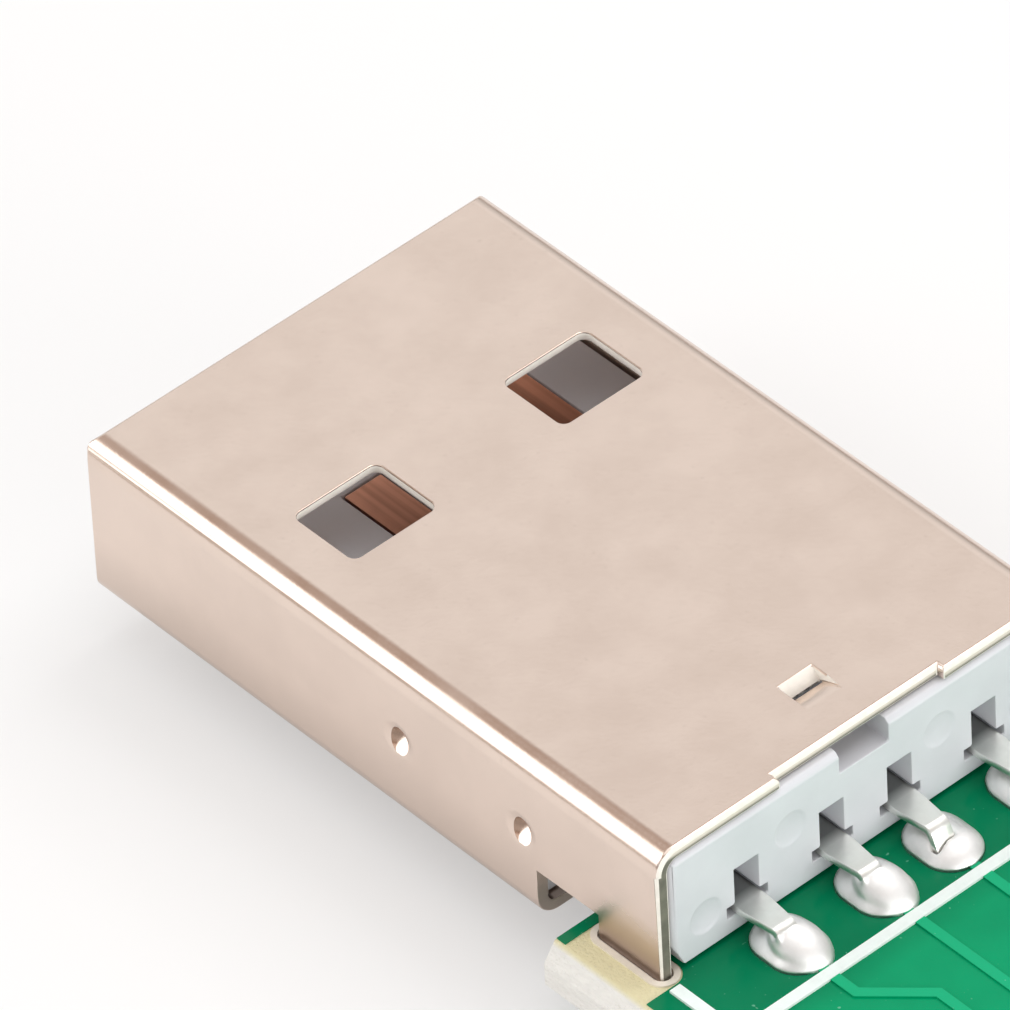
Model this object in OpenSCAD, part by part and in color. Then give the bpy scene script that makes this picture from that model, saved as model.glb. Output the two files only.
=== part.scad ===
// USB plug on a small breakout board: a folded plug shell, its moulded insulator and four
// formed contacts, soldered into a two-sided circuit board that ends in a row of header holes.
// Lengths are in millimetres. The parts are drawn with the board's top face at height zero,
// the rear edge of the plug shell at y zero and the plug's mouth towards +Y. Each part is then
// moved to the shared origin, which is under the middle of the whole object.

/* [Plug shell] */
// Outside width of the plug shell
plug_w = 12; // [11.6:0.1:12.6]
// Outside height of the plug shell
plug_h = 4.5; // [4.3:0.1:4.9]
// Length of the plug shell from its rear edge to its mouth
plug_l = 18.6; // [17:0.2:24]
// Thickness of the folded sheet
sheet_t = 0.3; // [0.2:0.02:0.36]
// Outside radius of the folds along the shell
fold_r = 0.6; // [0.45:0.05:0.8]
// Depth of the shell's underside below the board's top face
sink = 0.9; // [0.7:0.05:1.1]
// Bevel round the mouth
mouth_bevel = 0.15; // [0.04:0.01:0.18]
// Width of the slit where the folded sheet meets underneath
seam_w = 0.08; // [0.04:0.01:0.2]
// Length of the locking key in the seam
key_l = 2; // [1:0.1:3]
// Width of the locking key in the seam
key_w = 0.7; // [0.4:0.05:1]
// Flare of the locking key's two sides
key_flare = 0.3; // [0.1:0.05:0.5]

/* [Latch windows] */
// Width of a latch window across the plug
window_w = 2.46; // [2.2:0.02:2.9]
// Length of a latch window along the plug
window_l = 2.02; // [1.8:0.02:2.4]
// Distance between the centres of the two windows
window_pitch = 6.16; // [5.8:0.02:6.6]
// Distance from the mouth to the near edge of the windows
window_inset = 5.06; // [4.5:0.02:5.8]
// Corner radius of a latch window
window_r = 0.22; // [0.1:0.02:0.5]

/* [Shell pressings] */
// Width of the lance opening in the top of the shell
lance_w = 1; // [0.8:0.05:1.4]
// Length of the lance opening
lance_l = 1.1; // [0.9:0.05:1.4]
// Distance of the lance opening from the rear edge
lance_y = 1.1; // [0.8:0.05:1.3]
// Length of the lance
lance_reach = 0.62; // [0.4:0.02:0.7]
// Depth to which the lance is pressed down
lance_drop = 0.25; // [0.15:0.05:0.45]
// Length of the lip in front of the lance
lip_reach = 0.22; // [0.1:0.02:0.26]
// Depth to which the lip is pressed down
lip_drop = 0.27; // [0.15:0.02:0.3]
// Width of the relief in the top rear edge
relief_w = 4.8; // [3:0.1:6]
// Depth of the relief in the top rear edge
relief_d = 0.2; // [0.1:0.05:0.4]
// Width of the shallow hollow round a side dimple
dimple_w = 1.1; // [0.9:0.05:1.3]
// Depth of that hollow
dimple_depth = 0.1; // [0.06:0.01:0.14]
// Height of that hollow's middle above the shell's underside
dimple_h = 2.4; // [2:0.05:2.6]
// Width of the slanting punch mark in a side dimple
punch_w = 0.56; // [0.4:0.02:0.6]
// Depth of the punch mark's middle
punch_depth = 0.2; // [0.15:0.01:0.22]
// Height of the punch mark's middle above the shell's underside
punch_h = 2.17; // [2:0.01:2.4]
// Distance of the rear dimple from the shell's rear edge
dimple_rear = 4.4; // [3.6:0.05:5]
// Distance of the front dimple from the shell's rear edge
dimple_front = 8.35; // [6.6:0.05:9]
// Height of the side notch's top above the board
notch_h = 0.6; // [0.4:0.05:0.8]
// Clearance between the board's front edge and the front of the side notches
notch_gap = 1.35; // [0.8:0.05:2]

/* [Solder tabs] */
// Width of a solder tab
tab_w = 2; // [1.4:0.1:2.2]
// Radius of a tab's lower corners
tab_r = 0.4; // [0.2:0.05:0.6]
// Length of a tab below the board
tab_stub = 0.6; // [0.5:0.02:1]

/* [Insulator] */
// Depth of the plug's open cavity behind the mouth
cavity_d = 8.65; // [8:0.05:9.4]
// Distance of the tongue's end behind the mouth
tongue_inset = 0.4; // [0.2:0.05:0.8]
// Height of the tongue's contact face above the shell's underside
tongue_h = 2.25; // [2.1:0.05:2.4]
// Clearance between the insulator and the shell
shell_gap = 0.05; // [0.02:0.01:0.1]
// Clearance between the insulator and the board's top face
board_gap = 0.12; // [0.11:0.01:0.2]
// Clearance between the board's front edge and the insulator's step
step_gap = 1.6; // [0.2:0.05:2]
// Distance by which the insulator stands out behind the shell
insulator_out = 0.05; // [0:0.01:0.15]
// Bevel on the tongue's leading edges
tongue_bevel = 0.25; // [0.1:0.05:0.4]
// Clearance beside the lance in its groove
groove_side = 0.22; // [0.1:0.02:0.5]
// Clearance under the lance in its groove
groove_under = 0.4; // [0.2:0.05:0.65]
// Clearance in front of the lance opening in its groove
groove_ahead = 0.6; // [0.2:0.05:1.2]
// Bevel round the insulator's rear face
block_bevel = 0.12; // [0.04:0.01:0.2]
// Width of the taper at the insulator's lower rear corners
foot_run = 0.28; // [0.1:0.02:0.3]
// Height of the taper at the insulator's lower rear corners
foot_rise = 0.65; // [0.3:0.05:0.8]
// Width of the pocket over each pin
pocket_w = 0.7; // [0.5:0.05:0.8]
// Height of the pocket over each pin
pocket_h = 1.05; // [0.8:0.05:1.2]
// Depth of the pocket over each pin
pocket_d = 1.1; // [0.4:0.05:1.4]
// Outer width of an ejector mark
ejector_d = 1; // [0.6:0.05:1.2]
// Width of the sloping rim of an ejector mark
ejector_rim = 0.14; // [0.05:0.01:0.2]
// Depth of an ejector mark
ejector_depth = 0.06; // [0.02:0.01:0.1]
// Distance of the outer ejector marks from the plug's side
ejector_edge = 1.3; // [1.1:0.05:1.5]
// Height of the outer ejector marks above the board
ejector_low = 1.1; // [0.9:0.05:1.6]
// Distance of the inner ejector marks from the plug's middle
ejector_mid = 2.2; // [2:0.05:2.4]
// Height of the inner ejector marks above the board
ejector_high = 2; // [1.8:0.05:2.4]

/* [Contacts] */
// Distance between the centres of the inner contacts
inner_pitch = 2; // [1.9:0.05:2.1]
// Distance between the centres of the outer contacts
outer_pitch = 7; // [6.8:0.05:7.2]
// Width of a contact on the tongue
contact_w = 1.08; // [0.9:0.02:1.1]
// Thickness of a contact
contact_t = 0.2; // [0.15:0.01:0.3]
// Clearance between a contact and its channel in the insulator
contact_gap = 0.05; // [0.02:0.01:0.08]
// Distance of the inner contacts' ends behind the mouth
inner_inset = 3.5; // [3:0.1:4.2]
// Distance of the outer contacts' ends behind the mouth
outer_inset = 2.5; // [1.6:0.1:2.9]
// Height of a pin's top above the board
pin_h = 0.84; // [0.7:0.02:0.94]
// Distance behind the cavity at which the contacts step down
jog_back = 2; // [1:0.1:3]
// Length of the step in the contacts
jog_run = 1; // [0.6:0.1:2]
// Distance in front of the shell's rear edge at which a contact narrows to its pin
neck_y = 1.2; // [0.6:0.1:2]
// Width of a pin where it leaves the insulator
pin_w = 0.76; // [0.7:0.02:0.88]
// Length of the straight pin behind the shell, before it narrows to its tail
pin_straight = 0.3; // [0.2:0.05:0.6]
// Width of a pin's tail in the board
tail_w = 0.56; // [0.4:0.02:0.66]
// Distance behind the shell's rear edge at which a pin bends down
pin_knee = 1.2; // [0.9:0.05:1.3]
// Height above the board at which a pin's tail turns upright
knee_h = 0.15; // [0.05:0.05:0.3]
// Distance of the pin holes behind the shell's rear edge
pin_reach = 1.45; // [1.4:0.05:1.6]
// Middle radius of the bends in a contact
bend_r = 0.18; // [0.16:0.01:0.22]
// Length of a pin's tail below the board
tail_stub = 0.7; // [0.62:0.02:1.2]

/* [Board] */
// Distance by which the board stands out on each side of the plug
board_margin = 1.1; // [1.05:0.05:4]
// Length of the board
board_l = 18; // [15:0.5:30]
// Thickness of the board
board_t = 1.6; // [1.2:0.1:2]
// Distance from the copper of the tab slots to the board's front edge
front_margin = 0.35; // [0.05:0.05:0.4]
// Width of the scored bevel along each side
score_run = 0.35; // [0.1:0.05:0.38]
// Depth of the scored bevel along each side
score_depth = 0.5; // [0.2:0.05:0.58]

/* [Pads and holes] */
// Clearance round a pin's tail in its hole
pin_hole_gap = 0.125; // [0.05:0.005:0.15]
// Width of the copper ring round a pin hole
pin_ring = 0.3; // [0.2:0.02:0.34]
// Amount by which a pin pad is longer than it is wide
pin_stretch = 0.45; // [0.2:0.05:0.5]
// Distance of a pin pad's middle in front of its hole
pad_ahead = 0.3; // [0:0.05:0.35]
// Sideways shift of the pin pads and traces from the pins
pad_side = 0.2; // [0:0.02:0.24]
// Clearance beside a tab in its slot
slot_side_gap = 0.1; // [0.06:0.02:0.42]
// Clearance at each end of a tab in its slot
slot_end_gap = 0.1; // [0.06:0.02:0.3]
// Width of the copper ring round a tab slot
slot_ring = 0.15; // [0.1:0.01:0.29]
// Distance between neighbouring header holes
header_pitch = 2.54; // [2.4:0.01:2.7]
// Finished width of a header hole
header_hole_d = 1; // [0.8:0.05:1.2]
// Width of the copper ring round a header hole
header_ring = 0.375; // [0.2:0.005:0.45]
// Distance of the header holes from the board's rear edge
header_edge = 2.2; // [1.2:0.1:3]
// Thickness of the plating in the holes
plating_t = 0.05; // [0.03:0.01:0.08]
// Height of a solder mound over a pin pad
mound_h = 0.44; // [0.3:0.02:0.5]
// Height of a solder mound over a tab slot
tab_mound_h = 0.3; // [0.15:0.02:0.36]
// Number of joints, from the supply pin on, whose solder climbs the pin
climbs = 2; // [0:1:4]
// Width of the solder that climbs the back of a pin, from the pin's left edge on
climb_w = 1; // [0.6:0.02:1.1]
// Distance of that solder's crest behind the bend of the pin
climb_run = 0.55; // [0.4:0.05:0.6]
// Height of that solder's crest over its pad
climb_h = 0.5; // [0.4:0.02:0.6]
// Depth of the solder in a tab slot below the board's top face
slot_depth = 0.06; // [0.02:0.02:0.4]

/* [Traces and print] */
// Thickness of the copper on the board's faces
copper_t = 0.05; // [0.03:0.01:0.06]
// Width of a trace
trace_w = 0.2; // [0.14:0.02:0.4]
// Distance behind the pin pads' middle at which the outer traces turn inwards
trace_turn = 2.05; // [1.7:0.05:3]
// Distance between the outer traces where they run inwards
trace_pitch = 4.5; // [4:0.1:5.2]
// Thickness of the solder mask
mask_t = 0.03; // [0.02:0.005:0.04]
// Clearance of the solder mask round pads and edges
mask_gap = 0.04; // [0.02:0.01:0.05]
// Width of the printed outline
silk_w = 0.3; // [0.2:0.02:0.32]
// Thickness of the printed outline
silk_t = 0.02; // [0.01:0.005:0.03]
// Clearance of the printed outline from the openings in the mask
silk_gap = 0.1; // [0.02:0.01:0.2]
// Distance of the printed outline's side lines outside the plug
silk_out = 0.18; // [0.05:0.01:0.24]

/* [Hidden] */
$fn = 40;
// Overlap that joins pieces of one part, and that carries a cut through a face.
bite = 0.1;
shell_low = -sink;
shell_top = plug_h - sink;
shell_mid = plug_h / 2 - sink;
tab_x = (plug_w - sheet_t) / 2;
tab_tip = -board_t - tab_stub;
slot_w = sheet_t + 2 * slot_side_gap;
slot_l = tab_w + 2 * slot_end_gap;
board_front = tab_w + slot_end_gap + slot_ring + front_margin;
board_rear = board_front - board_l;
board_w = plug_w + 2 * board_margin;
board_half = board_w / 2 - score_run;
notch_front = board_front + notch_gap;
block_front = plug_l - cavity_d;
tongue_front = plug_l - tongue_inset;
tongue_top = tongue_h - sink;
step_front = board_front + step_gap;
groove_w = lance_w + 2 * groove_side;
groove_d = lance_drop + groove_under;
groove_l = lance_y + lance_l + groove_ahead;
contact_x = [-outer_pitch / 2, -inner_pitch / 2, inner_pitch / 2, outer_pitch / 2];
contact_inset = [outer_inset, inner_inset, inner_inset, outer_inset];
block_inset = sheet_t + shell_gap;
pin_y = -pin_reach;
pad_y = pin_y + pad_ahead;
pin_hole_d = norm([tail_w, contact_t]) + 2 * pin_hole_gap;
pin_pad_w = pin_hole_d + 2 * pin_ring;
pin_pad_l = pin_pad_w + pin_stretch;
header_pad_d = header_hole_d + 2 * header_ring;
header_x = [for (i = [0 : 3]) (i - 1.5) * header_pitch];
header_y = board_rear + header_edge;
ridge_top = copper_t + mask_t;
silk_y = pad_y - pin_pad_l / 2 - mask_gap - silk_gap - silk_w / 2;
silk_start = -slot_end_gap - slot_ring - mask_gap - silk_gap;
mid_y = (plug_l + board_rear) / 2;
low_z = -board_t - max(tail_stub, tab_stub, copper_t + mound_h);
lines = ["supply", "data_minus", "data_plus", "ground"];
sides = ["left", "right"];

// Paths

function unit(v) = v / norm(v);
function left_of(v) = [-v[1], v[0]];

// Sideways step at point i of a path that keeps a ribbon's width through the corner.
function mitre(path, i) =
    let (before = max(i, 1),
         after = min(i, len(path) - 2),
         a = left_of(unit(path[before] - path[before - 1])),
         b = left_of(unit(path[after + 1] - path[after])))
    (a + b) / (1 + a * b);

// Outline of a strip of even width along a path.
function ribbon(path, width) = concat(
    [for (i = [0 : len(path) - 1]) path[i] + mitre(path, i) * width / 2],
    [for (i = [len(path) - 1 : -1 : 0]) path[i] - mitre(path, i) * width / 2]);

// Points of an arc about a centre between the directions u and v.
function arc(centre, u, v, radius, steps) =
    let (sweep = acos(u * v))
    [for (k = [0 : steps])
        centre + radius * (sin((1 - k / steps) * sweep) * u + sin(k / steps * sweep) * v) / sin(sweep)];

// Arc that rounds the corner b of the path a, b, c.
function bend(a, b, c, radius, steps = 6) =
    let (p = unit(a - b),
         q = unit(c - b),
         half = acos(p * q) / 2,
         centre = b + unit(p + q) * radius / sin(half))
    arc(centre, unit(b + p * radius / tan(half) - centre), unit(b + q * radius / tan(half) - centre),
        radius, steps);

// Path with each inner corner rounded.
function eased(path, radius) = concat(
    [path[0]],
    [for (i = [1 : len(path) - 2]) each bend(path[i - 1], path[i], path[i + 1], radius)],
    [path[len(path) - 1]]);

// Middle line of a contact seen from the side, from its end on the tongue to the tail's tip.
function contact_path(end_y) =
    let (upper = tongue_top - contact_t / 2,
         lower = pin_h - contact_t / 2,
         jog_y = block_front - jog_back)
    eased([[end_y, upper], [jog_y, upper], [jog_y - jog_run, lower], [-pin_knee, lower],
           [pin_y, knee_h], [pin_y, -board_t - tail_stub]], bend_r);

// Middle line of trace i from its pin pad to its header hole.
function trace_path(i) =
    let (pin = contact_x[i] + pad_side,
         run = i == 0 || i == 3 ? sign(pin) * trace_pitch / 2 + pad_side : pin,
         end = header_x[i],
         fan = header_y + header_pad_d)
    i == 0 || i == 3
        ? [[pin, pad_y], [pin, pad_y - trace_turn], [run, pad_y - trace_turn - abs(pin - run)],
           [run, fan + abs(end - run)], [end, fan], [end, header_y]]
        : [[pin, pad_y], [pin, fan + abs(end - pin)], [end, fan], [end, header_y]];

// Half outline of a dimple: distances from its middle and heights over the face it is pressed into.
function bell(w, depth, steps = 8) =
    [for (k = [0 : steps]) [w / 2 * k / steps, depth / 50 - depth / 2 * (1 + cos(180 * k / steps))]];

// Outline of a given half width from a plain end to an end with bevelled corners.
function bevelled(half, plain, end, bevel) =
    let (inner = end + sign(plain - end) * bevel)
    [[plain, -half], [inner, -half], [end, bevel - half], [end, half - bevel], [inner, half], [plain, half]];

// Shapes

module at_home() {
    translate([0, -mid_y, -low_z]) children();
}

module along_x(x, width) {
    translate([x, 0, 0]) rotate([90, 0, 90]) linear_extrude(width, center = true) children();
}

module along_y(from, to) {
    translate([0, to, 0]) rotate([90, 0, 0]) linear_extrude(to - from) children();
}

module up_to(low, high) {
    translate([0, 0, low]) linear_extrude(high - low) children();
}

module rounded(w, l, r) {
    square([w - 2 * r, l], center = true);
    square([w, l - 2 * r], center = true);
    for (x = [-1, 1], y = [-1, 1]) {
        translate([x * (w / 2 - r), y * (l / 2 - r)]) circle(r);
    }
}

module stadium(w, l) {
    square([w, l - w], center = true);
    for (y = [-1, 1]) {
        translate([0, y * (l - w) / 2]) circle(w / 2);
    }
}

// Cross-section of the plug at a given depth inside its outer face.
module plug_section(inset) {
    translate([0, shell_mid]) rounded(plug_w - 2 * inset, plug_h - 2 * inset, fold_r - inset);
}

// Trims a body of the plug's section, at a given depth inside its outer face, to a bevelled end.
module bevelled_end(inset, plain, end, bevel) {
    intersection() {
        children();
        translate([0, 0, shell_mid]) {
            along_x(0, plug_w) polygon(bevelled(plug_h / 2 - inset, plain, end, bevel));
        }
        up_to(shell_low, shell_top) {
            polygon([for (p = bevelled(plug_w / 2 - inset, plain, end, bevel)) [p[1], p[0]]]);
        }
    }
}

// Rounded solder on a pad, with its base at height zero.
module mound(w, l, h) {
    r = (pow(w / 2, 2) + h * h) / (2 * h);
    straight = l - w;
    along_y(-straight / 2, straight / 2) intersection() {
        translate([0, h - r]) circle(r);
        translate([-w, 0]) square([2 * w, h + bite]);
    }
    for (turn = [0, 180]) {
        rotate(turn) translate([0, straight / 2, 0]) rotate_extrude(angle = 180) intersection() {
            translate([0, h - r]) circle(r);
            square([w, h + bite]);
        }
    }
}

// Plated hole with pads on both faces: pad outline, drilled outline, finished outline.
module plated() {
    difference() {
        union() {
            up_to(-board_t - copper_t, -board_t) children(0);
            up_to(0, copper_t) children(0);
            up_to(-board_t - copper_t, copper_t) children(1);
        }
        up_to(-board_t - 1, 1) children(2);
    }
}

// Outlines of the holes and pads, each grown by a given amount all round.

module pin_spot(i, w, l, grow) {
    translate([contact_x[i] + pad_side, pad_y]) stadium(w + 2 * grow, l + 2 * grow);
}

module pin_drill(i, grow) {
    translate([contact_x[i], pin_y]) circle(pin_hole_d / 2 + grow);
}

module slot_spot(side, grow) {
    translate([side * tab_x, tab_w / 2]) stadium(slot_w + 2 * grow, slot_l + 2 * grow);
}

module header_spot(i, d, grow) {
    translate([header_x[i], header_y]) circle(d / 2 + grow);
}

module drills() {
    for (i = [0 : 3]) {
        pin_drill(i, plating_t);
        header_spot(i, header_hole_d, plating_t);
    }
    for (side = [-1, 1]) {
        slot_spot(side, plating_t);
    }
}

module mask_openings() {
    for (i = [0 : 3]) {
        pin_spot(i, pin_pad_w, pin_pad_l, mask_gap);
        header_spot(i, header_pad_d, mask_gap);
    }
    for (side = [-1, 1]) {
        slot_spot(side, slot_ring + mask_gap);
        // The strip between a tab slot and the side of the board stays bare.
        translate([side * (tab_x + board_w / 2) / 2, tab_w / 2]) {
            square([board_w / 2 - tab_x, slot_l + 2 * (slot_ring + mask_gap)], center = true);
        }
    }
}

module mask_area() {
    translate([mask_gap - board_half, board_rear + mask_gap]) {
        square([2 * (board_half - mask_gap), board_l - 2 * mask_gap]);
    }
}

module ridges() {
    for (i = [0 : 3]) {
        up_to(-bite, ridge_top) polygon(ribbon(trace_path(i), trace_w + 2 * mask_t));
    }
}

// Plug shell

module shell_tube() {
    bevelled_end(0, 0, plug_l, mouth_bevel) along_y(0, plug_l) difference() {
        plug_section(0);
        plug_section(sheet_t);
    }
}

module latch_windows() {
    for (side = [-1, 1]) {
        translate([side * window_pitch / 2, plug_l - window_inset - window_l / 2]) {
            up_to(shell_low - 1, shell_top + 1) rounded(window_w, window_l, window_r);
        }
    }
}

// Bodies of the side dimples, pressed into a face at a given depth inside the shell's outer face and
// grown by a given clearance.
module dimples(inset, grow = 0) {
    for (side = [0, 1], y = [dimple_rear, dimple_front]) mirror([side, 0, 0]) {
        translate([plug_w / 2 - inset - grow, y, shell_low + dimple_h]) rotate([0, 90, 0]) rotate_extrude() {
            polygon(concat(bell(dimple_w, dimple_depth), [[dimple_w / 2, bite], [0, bite]]));
        }
        translate([plug_w / 2 - inset - punch_depth, y, shell_low + punch_h]) rotate([0, 45, 0]) {
            translate([0, 0, -grow]) cylinder(plug_h / 2, d = punch_w + 2 * grow);
        }
    }
}

module side_tabs() {
    for (side = [-1, 1]) {
        along_x(side * tab_x, sheet_t) {
            translate([tab_w / 2, (tab_tip + notch_h) / 2]) rounded(tab_w, notch_h - tab_tip, tab_r);
            translate([0, tab_tip + tab_r]) square([tab_w, notch_h + bite - tab_tip - tab_r]);
        }
    }
}

module seam() {
    rear = (notch_front + plug_l - key_l) / 2;
    front = rear + key_l;
    up_to(shell_low - 1, shell_low + sheet_t + bite) {
        polygon(ribbon([[0, 0], [0, rear], [-key_w, rear - key_flare], [-key_w, front + key_flare],
                        [0, front], [0, plug_l + 1]], seam_w));
    }
}

// Tongue at the rear of the lance opening and lip at its front, both pressed down.
module lance() {
    sheet_mid = shell_top - sheet_t / 2;
    front = lance_y + lance_l;
    along_x(0, lance_w + bite / 2) {
        polygon(ribbon([[lance_y - bite, sheet_mid], [lance_y, sheet_mid],
                        [lance_y + lance_reach, sheet_mid - lance_drop]], sheet_t));
        polygon(ribbon([[front + bite, sheet_mid], [front, sheet_mid],
                        [front - lip_reach, sheet_mid - lip_drop]], sheet_t));
    }
}

module plug_shell() {
    color([0.84, 0.78, 0.74]) at_home() {
        difference() {
            union() {
                shell_tube();
                intersection() {
                    dimples(sheet_t);
                    cube([plug_w - sheet_t, 4 * plug_l, 4 * plug_h], center = true);
                }
            }
            dimples(0);
            latch_windows();
            seam();
            translate([-plug_w, -1, shell_low - 1]) {
                cube([2 * plug_w, 1 + notch_front, 1 + notch_h - shell_low]);
            }
            translate([-relief_w / 2, -1, shell_top - sheet_t - bite]) cube([relief_w, 1 + relief_d, 1]);
            translate([-lance_w / 2, lance_y, shell_top - sheet_t - bite]) cube([lance_w, lance_l, 1]);
        }
        side_tabs();
        lance();
    }
}

// Insulator

module tongue() {
    low = shell_low + block_inset;
    intersection() {
        along_y(block_front - bite, tongue_front) plug_section(block_inset);
        along_x(0, plug_w) {
            polygon([[block_front - bite, low], [tongue_front - tongue_bevel, low],
                     [tongue_front, low + tongue_bevel], [tongue_front, tongue_top - tongue_bevel],
                     [tongue_front - tongue_bevel, tongue_top], [block_front - bite, tongue_top]]);
        }
    }
}

module ejector_marks() {
    spots = [[plug_w / 2 - ejector_edge, ejector_low], [ejector_mid, ejector_high]];
    for (side = [-1, 1], spot = spots) {
        translate([side * spot[0], -insulator_out - ejector_depth, spot[1]]) rotate([-90, 0, 0]) {
            cylinder(2 * ejector_depth, d1 = ejector_d + 2 * ejector_rim, d2 = ejector_d - 2 * ejector_rim);
        }
    }
}

module foot_tapers() {
    edge = plug_w / 2 - block_inset;
    for (side = [-1, 1]) {
        along_y(-1, step_front) {
            polygon([[side * edge, board_gap + foot_rise], [side * (edge - foot_run), board_gap],
                     [side * edge, board_gap - bite], [side * plug_w, board_gap]]);
        }
    }
}

module contact_channels() {
    for (i = [0 : 3]) {
        along_x(contact_x[i], contact_w + 2 * contact_gap) {
            polygon(ribbon(contact_path(plug_l - contact_inset[i] + contact_gap), contact_t + 2 * contact_gap));
        }
    }
}

module plug_insulator() {
    color([0.83, 0.86, 0.87]) at_home() difference() {
        union() {
            bevelled_end(block_inset, block_front, -insulator_out, block_bevel) {
                along_y(-insulator_out, block_front) plug_section(block_inset);
            }
            tongue();
        }
        translate([-plug_w / 2, -1, shell_low - 1]) {
            cube([plug_w, 1 + step_front, 1 - shell_low + board_gap]);
        }
        foot_tapers();
        translate([-groove_w / 2, -1, shell_top - sheet_t - groove_d]) {
            cube([groove_w, 1 + groove_l, groove_d + 1]);
        }
        for (x = contact_x) {
            translate([x - pocket_w / 2, -1, pin_h - bite]) cube([pocket_w, 1 + pocket_d, pocket_h + bite]);
        }
        contact_channels();
        ejector_marks();
        dimples(sheet_t, shell_gap);
    }
}

// Contacts

module contact_blank(i) {
    end_y = plug_l - contact_inset[i];
    half = [[contact_w / 2, end_y], [contact_w / 2, neck_y + contact_w - pin_w], [pin_w / 2, neck_y],
            [pin_w / 2, -pin_straight], [tail_w / 2, -pin_knee], [tail_w / 2, pin_y - 1]];
    intersection() {
        along_x(contact_x[i], contact_w) polygon(ribbon(contact_path(end_y), contact_t));
        translate([contact_x[i], 0, 0]) up_to(-board_t - tail_stub - 1, shell_top) {
            polygon(concat(half, [for (k = [len(half) - 1 : -1 : 0]) [-half[k][0], half[k][1]]]));
        }
    }
}

module contact(i) {
    color([0.80, 0.62, 0.42]) at_home() contact_blank(i);
}

// Board

module printed_board() {
    edge = board_w / 2;
    color([0.86, 0.84, 0.72]) at_home() difference() {
        along_y(board_rear, board_front) {
            polygon([[-board_half, 0], [-edge, -score_depth], [-edge, score_depth - board_t],
                     [-board_half, -board_t], [board_half, -board_t], [edge, score_depth - board_t],
                     [edge, -score_depth], [board_half, 0]]);
        }
        up_to(-board_t - 1, 1) drills();
    }
}

module top_solder_mask() {
    color([0.02, 0.42, 0.30]) at_home() difference() {
        union() {
            up_to(0, mask_t) mask_area();
            intersection() {
                ridges();
                up_to(0, 1) mask_area();
            }
        }
        for (i = [0 : 3]) {
            up_to(-1, copper_t) polygon(ribbon(trace_path(i), trace_w));
        }
        up_to(-1, 1) mask_openings();
    }
}

module bottom_solder_mask() {
    color([0.02, 0.42, 0.30]) at_home() difference() {
        up_to(-board_t - mask_t, -board_t) mask_area();
        up_to(-board_t - 1, 0) mask_openings();
    }
}

module silkscreen_outline() {
    left_x = pad_side - plug_w / 2 - silk_out;
    right_x = pad_side + plug_w / 2 + silk_out;
    color([0.95, 0.98, 0.97]) at_home() difference() {
        up_to(mask_t, ridge_top + silk_t) {
            polygon(ribbon([[left_x, silk_start], [left_x, silk_y], [right_x, silk_y],
                            [right_x, silk_start]], silk_w));
        }
        ridges();
    }
}

module trace(i) {
    color([0.72, 0.45, 0.28]) at_home() difference() {
        up_to(0, copper_t) polygon(ribbon(trace_path(i), trace_w));
        up_to(-1, 1) pin_spot(i, pin_pad_w, pin_pad_l, 0);
        up_to(-1, 1) header_spot(i, header_pad_d, 0);
    }
}

module pin_hole(i) {
    color([0.85, 0.72, 0.45]) at_home() plated() {
        pin_spot(i, pin_pad_w, pin_pad_l, 0);
        pin_drill(i, plating_t);
        pin_drill(i, 0);
    }
}

module header_hole(i) {
    color([0.85, 0.72, 0.45]) at_home() plated() {
        header_spot(i, header_pad_d, 0);
        header_spot(i, header_hole_d, plating_t);
        header_spot(i, header_hole_d, 0);
    }
}

module tab_slot(side) {
    color([0.85, 0.72, 0.45]) at_home() plated() {
        slot_spot(side, slot_ring);
        slot_spot(side, plating_t);
        slot_spot(side, 0);
    }
}

// Solder

// Solder that climbs from the rear of pad i to the bend of its pin.
module climb(i) {
    crest = -pin_knee - climb_run;
    rear = pad_y - pin_pad_l / 2 + bite;
    along_x(contact_x[i] + (climb_w - tail_w) / 2, climb_w) {
        polygon([[-pin_knee, copper_t], [-pin_knee, pin_h - contact_t / 2], [crest, copper_t + climb_h],
                 [rear, copper_t + climb_h / 4], [rear, copper_t]]);
    }
}

module pin_solder(i) {
    color([0.80, 0.81, 0.82]) at_home() difference() {
        union() {
            translate([contact_x[i] + pad_side, pad_y, copper_t]) mound(pin_pad_w, pin_pad_l, mound_h);
            if (i < climbs) {
                climb(i);
            }
            translate([contact_x[i] + pad_side, pad_y, -board_t - copper_t]) {
                mirror([0, 0, 1]) mound(pin_pad_w, pin_pad_l, mound_h);
            }
            up_to(-board_t - copper_t - bite, copper_t + bite) pin_drill(i, 0);
        }
        contact_blank(i);
    }
}

module tab_solder(side) {
    color([0.80, 0.81, 0.82]) at_home() difference() {
        union() {
            translate([side * tab_x, tab_w / 2, -board_t - copper_t]) {
                mirror([0, 0, 1]) mound(slot_w + 2 * slot_ring, slot_l + 2 * slot_ring, tab_mound_h);
            }
            up_to(-board_t - copper_t - bite, -slot_depth) slot_spot(side, 0);
        }
        side_tabs();
    }
}

// Nodes

plug_shell();
plug_insulator();
printed_board();
top_solder_mask();
bottom_solder_mask();
silkscreen_outline();
for (i = [0 : 3]) {
    contact(i);
    header_hole(i);
    pin_hole(i);
    trace(i);
    pin_solder(i);
}
for (i = [0, 1]) {
    tab_slot(2 * i - 1);
    tab_solder(2 * i - 1);
}
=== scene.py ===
"""USB plug on a breakout board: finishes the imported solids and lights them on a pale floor."""

import math

import bmesh
import bpy
from bpy.props import FloatProperty, FloatVectorProperty, PointerProperty
from mathutils import Matrix, Vector


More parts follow.
